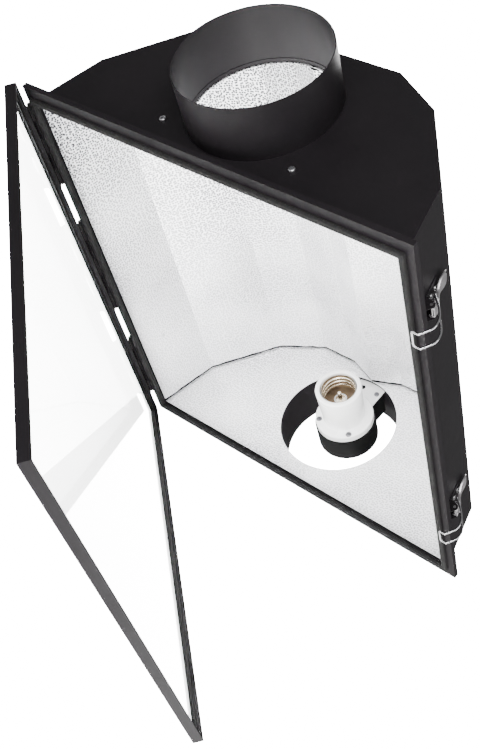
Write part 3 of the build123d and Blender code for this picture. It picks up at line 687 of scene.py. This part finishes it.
def make_thread():
    """The rolled thread shell as a true helix with an eased start, and the plain floor below it. The
    valleys of the thread are marked, so that they can be painted darker with tarnish and painted shade."""
    steps = 96
    rows_per_turn = 12
    rows = THREAD_TURNS * rows_per_turn
    bm = bmesh.new()
    valley = bm.verts.layers.float.new("valley")

    def ring(y, less):
        made = []
        ease = min(1.0, (y - THREAD_START) / (0.5 * THREAD_PITCH))
        for i in range(steps):
            turn = 2 * math.pi * i / steps
            wave = math.cos(2 * math.pi * (y - THREAD_START) / THREAD_PITCH - turn)
            r = THREAD_R + THREAD_DEPTH * (wave * ease + (1 - ease) * 0.6) - less
            vert = bm.verts.new((r * math.cos(turn), y, SOCKET_Z + r * math.sin(turn)))
            vert[valley] = 0.5 + 0.5 * wave * ease
            made.append(vert)
        return made

    levels = [THREAD_START + THREAD_PITCH * j / rows_per_turn for j in range(rows + 1)]
    outer = [ring(y, 0.0) for y in levels]
    inner = [ring(y, THREAD_WALL) for y in levels]
    strips = list(zip(outer, outer[1:])) + list(zip(inner, inner[1:]))
    strips += [(outer[0], inner[0]), (outer[-1], inner[-1])]
    for one, two in strips:
        for i in range(steps):
            bm.faces.new([one[i], one[(i + 1) % steps], two[(i + 1) % steps], two[i]])
    shell = new_object("rolled_thread", bm, ROLLED_METAL, 60.0)
    place(shell, "thread_brass", "root", "screw_shell")
    make_thread_floor(levels[-1])


def make_thread_floor(start):
    """The flat ring at the bottom of the thread shell, round the contact, in very dark brown brass: tarnish
    and painted shade of the socket's depth.
    """
    hole_r = 8.0 * MM
    rim_r = THREAD_R + THREAD_DEPTH
    end = start + 0.8 * MM
    outline = [(hole_r, start), (rim_r, start), (rim_r, end), (hole_r, end)]
    floor = lathe("thread_floor", outline, FLOOR_TARNISH_AND_SHADE, 64)
    place(floor, "thread_brass", "root")


def make_contact():
    """The centre post: a round tip, a waist, a shoulder on the seat, and a tail through the porcelain."""
    tip = SEAT - CONTACT_REACH
    tip_round = 2.0 * MM
    head_r = 2.6 * MM
    waist_r = 1.7 * MM
    post_r = 2.7 * MM
    shoulder_r = 6.5 * MM
    shoulder_t = 1.2 * MM
    tail_r = 2.9 * MM
    tail_end = SOCKET_BACK + 3.0 * MM
    outline = [(0.0, tip)]
    outline += arc(head_r - tip_round, tip + tip_round, tip_round, -90, 0)
    outline += [(head_r, tip + 3.0 * MM), (waist_r, tip + 4.5 * MM), (waist_r, tip + 5.5 * MM),
                (post_r, tip + 6.8 * MM), (post_r, SEAT - 2.0 * MM)]
    outline += [(shoulder_r - 0.2 * MM, SEAT - shoulder_t), (shoulder_r, SEAT)]
    outline += [(tail_r, SEAT), (tail_r, tail_end), (0.0, tail_end)]
    contact = lathe("centre_stud", outline, THREAD_METAL, 40, 50.0)
    place(contact, "thread_brass", "root", "centre_contact")


def make_bracket():
    """The painted bracket with its cover and gland, and the terminals and screws."""
    softened("socket_bracket", 0.4 * MM, WHITE_PAINT, "bracket_zinc", "root")
    softened("wire_cover", 0.5 * MM, COVER_BLACK, "cover_black", "root")
    softened("cord_gland", 0.4 * MM, NYLON, "gland_nylon", "root")
    for node in ("contact_terminal", "shell_terminal"):
        repaint(node, THREAD_METAL)
    for node in ("socket_screws", "bracket_screws"):
        repaint(node, DARK_STEEL)
    for node in ("earth_screw", "end_plate_screws"):
        repaint(node, ZINC)


# ---- door ---------------------------------------------------------------------------------------------
def make_door():
    """The black tray, its glass, and the silicone under and over the glass."""
    softened("door_frame", 0.35 * MM, POWDER, "black_powder", "door")
    repaint("door_glass", GLASS)
    repaint("glass_seal", SILICONE)
    softened("glass_bead", 0.25 * MM, SILICONE, "silicone_black", "door")


def make_hinges():
    """The three hinges: a leaf on the frame, a leaf on the door, and a pin."""
    for number in (1, 2, 3):
        softened(f"hinge_frame_leaf_{number}", 0.12 * MM, POWDER, "black_powder", "root", 1)
        softened(f"hinge_door_leaf_{number}", 0.12 * MM, POWDER, "black_powder", "door", 1)
        repaint(f"hinge_pin_{number}", STEEL)


# ---- latches ------------------------------------------------------------------------------------------
def beside_wall(out, up, y):
    """A point beside the latch-side wall: distance from it and height along it, in millimetres."""
    c, s = math.cos(WALL_LEAN), math.sin(WALL_LEAN)
    return Vector((WALL_FOOT.x + (out * c - up * s) * MM, y, WALL_FOOT.z + (out * s + up * c) * MM))


def eased(points, t):
    """A smooth curve through points, t from 0 to 1."""
    last = len(points) - 1
    place_on = min(max(t, 0.0), 1.0) * last
    i = min(int(place_on), last - 1)
    u = place_on - i
    p0 = points[max(i - 1, 0)]
    p1 = points[i]
    p2 = points[i + 1]
    p3 = points[min(i + 2, last)]
    return [0.5 * (2 * b + (c - a) * u + (2 * a - 5 * b + 4 * c - d) * u ** 2
                   + (3 * b - a - 3 * c + d) * u ** 3) for a, b, c, d in zip(p0, p1, p2, p3)]


def lever_row(t, y, across):
    """Points across the lever at t of its length: a flat or dished front and two turned-in edges."""
    out, up, half, depth = eased(LEVER, t)
    ahead = eased(LEVER, min(t + 0.01, 1.0))
    behind = eased(LEVER, max(t - 0.01, 0.0))
    tangent = Vector((ahead[0] - behind[0], ahead[1] - behind[1])).normalized()
    inward = Vector((-tangent.y, tangent.x))
    dish = DISH * max(0.0, min(1.0, (up - DISH_START) / DISH_RUN))
    points = []
    for i in range(across + 1):
        w = -1 + 2 * i / across
        if abs(w) > LEVER_FLAT:
            side = math.copysign(half, w)
            fall = depth * (abs(w) - LEVER_FLAT) / (1 - LEVER_FLAT)
        else:
            side = half * w / LEVER_FLAT
            fall = dish * (1 - (w / LEVER_FLAT) ** 2)
        points.append(beside_wall(out + inward.x * fall, LEVER_PIVOT_UP + up + inward.y * fall,
                                  y + side * MM))
    return points


def make_lever(number, y):
    """A stamped lever: cheeks at the pivot that fade into a wide, dished finger paddle."""
    rows = 44
    across = 16
    bm = bmesh.new()
    grid = [[bm.verts.new(point) for point in lever_row(j / rows, y, across)] for j in range(rows + 1)]
    for one, two in zip(grid, grid[1:]):
        for i in range(across):
            bm.faces.new([one[i], one[i + 1], two[i + 1], two[i]])
    lever = new_object(f"lever_{number}", bm, NICKEL, 60.0)
    thick = lever.modifiers.new("thick", "SOLIDIFY")
    thick.thickness = LEVER_SHEET
    thick.offset = 0.0
    smooth = lever.modifiers.new("smooth", "SUBSURF")
    smooth.levels = 1
    smooth.render_levels = 1
    applied(lever)
    finish_mesh(lever.data, NICKEL, 60.0)
    place(lever, "latch_zinc", f"lever_{number}", f"latch_lever_{number}")


def bail_path(y, bar_z):
    """The middle of the wire, from its end inside one of the lever's cheeks to the other."""
    bow = [beside_wall(BAIL_PIVOT[0], BAIL_PIVOT[1], y)]
    bow += [Vector((x * MM, y, MOUTH + z * MM)) for x, z in BAIL_BOW]
    bow += [Vector((HOOK_TURN * MM, y, bar_z))]
    steps = 28
    side = [Vector(eased(bow, i / steps)) for i in range(steps + 1)]
    side += [Vector((HOOK_END * MM, y, bar_z))]
    shift = Vector((0, BAIL_HALF, 0))
    end = Vector((0, BAIL_END, 0))
    points = [side[0] - end] + [p - shift for p in side] + [p + shift for p in reversed(side)]
    points.append(side[0] + end)
    return rounded(points, BAIL_BEND_R, 6)


def make_bail(number, y):
    """The wire loop: ends in the lever, legs round the frame's edge, and the hook bar."""
    path = bail_path(y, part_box(f"latch_bail_{number}")[0].z + BAIL_R)
    curve = bpy.data.curves.new(f"bail_{number}", "CURVE")
    curve.dimensions = "3D"
    curve.bevel_depth = BAIL_R
    curve.bevel_resolution = 6
    curve.use_fill_caps = True
    line = curve.splines.new("POLY")
    line.points.add(len(path) - 1)
    for point, target in zip(line.points, path):
        point.co = (*target, 1.0)
    curve.materials.append(WIRE)
    bail = bpy.data.objects.new(f"bail_wire_{number}", curve)
    bpy.context.scene.collection.objects.link(bail)
    place(bail, "bail_wire", f"bail_{number}", f"latch_bail_{number}")


def make_latches():
    """The two draw latches, and the rivets of latches, tabs and liner."""
    for number in (1, 2):
        low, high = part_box(f"latch_base_{number}")
        y = (low.y + high.y) / 2
        softened(f"latch_base_{number}", 0.3 * MM, POWDER, "black_powder", "root")
        repaint(f"latch_pivot_{number}", STEEL)
        make_lever(number, y)
        make_bail(number, y)
    for node in ("latch_rivets", "hanger_rivets", "liner_rivets"):
        repaint(node, RIVET_METAL)


# ---- camera, lights and floor -------------------------------------------------------------------------
def make_camera():
    """The camera, below and in front of the inlet end, looking up into the mouth and rolled to one side."""
    place_at = (0.6307, -0.8873, MOUTH - 0.4819)
    data = bpy.data.cameras.new("camera")
    data.lens = 54.4
    data.clip_end = 60.0
    camera = bpy.data.objects.new("camera", data)
    bpy.context.scene.collection.objects.link(camera)
    right = Vector((0.7488, 0.2047, 0.6304))
    back = Vector((0.5289, -0.7578, -0.3821)).normalized()
    up = back.cross(right).normalized()
    right = up.cross(back)
    turn = Matrix((right, up, back)).transposed().to_4x4()
    camera.matrix_world = Matrix.Translation(place_at) @ turn
    bpy.context.scene.camera = camera


def soft_light(name, place_at, target, size, power):
    """A square or oblong panel of light that the camera doesn't see."""
    data = bpy.data.lights.new(name, "AREA")
    data.shape = "RECTANGLE"
    data.size = size[0]
    data.size_y = size[1]
    data.energy = power
    light = bpy.data.objects.new(name, data)
    light.location = place_at
    aim = Vector(target) - Vector(place_at)
    light.rotation_euler = aim.to_track_quat("-Z", "Y").to_euler()
    light.visible_camera = False
    bpy.context.scene.collection.objects.link(light)


def background(tree, strength):
    """A plain white background of the given strength."""
    node = tree.nodes.new("ShaderNodeBackground")
    node.inputs["Color"].default_value = WHITE
    node.inputs["Strength"].default_value = strength
    return node.outputs[0]


def make_world():
    """A white studio: bright where it is seen directly or through glass, softer as a light."""
    world = bpy.data.worlds.new("studio")
    world.use_nodes = True
    tree = world.node_tree
    tree.nodes.clear()
    path = tree.nodes.new("ShaderNodeLightPath")
    direct = path.outputs["Is Camera Ray"]
    for other in ("Is Transmission Ray", "Is Singular Ray"):
        either = tree.nodes.new("ShaderNodeMath")
        either.operation = "MAXIMUM"
        tree.links.new(direct, either.inputs[0])
        tree.links.new(path.outputs[other], either.inputs[1])
        direct = either.outputs[0]
    mix = tree.nodes.new("ShaderNodeMixShader")
    tree.links.new(direct, mix.inputs[0])
    tree.links.new(background(tree, LIGHT_STRENGTH), mix.inputs[1])
    tree.links.new(background(tree, SEEN_STRENGTH), mix.inputs[2])
    out = tree.nodes.new("ShaderNodeOutputWorld")
    tree.links.new(mix.outputs[0], out.inputs[0])
    bpy.context.scene.world = world


def make_floor():
    """A wide pale floor, some way below the open door."""
    bm = bmesh.new()
    bmesh.ops.create_grid(bm, x_segments=2, y_segments=2, size=FLOOR_SIZE)
    floor = new_object("floor", bm, studio_floor("pale_floor"))
    floor.location = (0, 0, cad_box[0].z - FLOOR_DROP)


def make_lights():
    """One light in the mouth, facing the reflector, and six round the hood."""
    soft_light("mouth_light", (0.0, 0.0, MOUTH + 4.0 * MM), (0, 0, 0), (0.40, 0.46), 3.0)
    soft_light("far_light", (0.55, 0.8, -0.9), (-0.1, 0, -0.25), (0.9, 0.9), 9)
    soft_light("low_light", (0.3, -0.2, -1.1), (0, 0, -0.1), (0.8, 0.8), 22)
    soft_light("front_light", (0.9, -1.7, -0.5), (0, 0, -0.15), (1.0, 1.0), 34)
    soft_light("top_light", (-1.5, 1.0, 2.0), (0, 0, -0.2), (2.6, 2.6), 190)
    soft_light("back_light", (-2.0, 1.4, 0.7), (0, 0, -0.1), (1.4, 1.4), 60)
    soft_light("side_light", (1.7, 0.4, 0.2), (0, 0, -0.1), (1.2, 1.2), 18)


random.seed(7)
make_shell()
make_housing()
make_liner()
make_socket()
make_thread()
make_contact()
make_bracket()
make_door()
make_hinges()
make_latches()
make_camera()
make_world()
make_floor()
make_lights()
